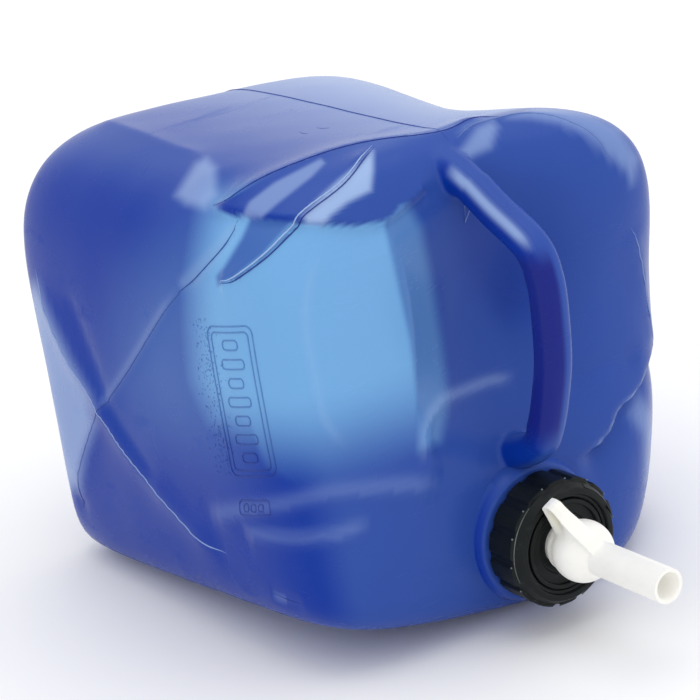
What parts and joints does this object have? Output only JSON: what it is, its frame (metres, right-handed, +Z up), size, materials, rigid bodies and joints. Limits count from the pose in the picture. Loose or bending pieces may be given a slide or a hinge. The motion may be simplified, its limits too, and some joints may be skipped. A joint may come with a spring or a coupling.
{
  "type": "collapsible water carrier",
  "caption": "Soft-walled folding cube for water with a moulded carry handle, a threaded neck, a screw collar and a turning spigot.",
  "frame": {"origin": "middle of the flat base, on the surface the carrier stands on", "axes": "+X out of the neck along the spigot, +Z up, and y = 0 is the parting plane through the handle and the neck"},
  "size_m": [0.4047, 0.2861, 0.2671],
  "materials": {
    "blue_shell": "glossy translucent blue low-density polyethylene, lighter where the wall is thin",
    "black_cap": "black moulded plastic with a soft sheen and light scuffs",
    "white_tap": "off-white moulded plastic, slightly translucent at the spout",
    "seal_rubber": "matt rubber"
  },
  "bodies": {
    "container": {"container_shell": "blue_shell"},
    "plug": {"spigot_plate": "black_cap", "neck_gasket": "seal_rubber", "port_sleeve": "seal_rubber"},
    "collar": {"screw_collar": "black_cap"},
    "tap": {"tap_body": "white_tap", "stem_o_ring": "seal_rubber", "retaining_ring": "white_tap"}
  },
  "joints": [
    {"name": "cap_lift", "type": "slide", "parent": "container", "child": "plug", "axis": [1, 0, 0], "range_m": [0, 0.036]},
    {"name": "collar_turn", "type": "hinge", "parent": "plug", "child": "collar", "pos_m": [0.163, 0, 0.05], "axis": [1, 0, 0], "range_deg": [0, 2165]},
    {"name": "tap_turn", "type": "hinge", "parent": "plug", "child": "tap", "pos_m": [0.163, 0, 0.05], "axis": [1, 0, 0], "range_deg": [0, 90]}
  ],
  "couplings": [
    {"joint": "collar_turn", "follows": "cap_lift", "rad_per_m": 1047.2}
  ]
}
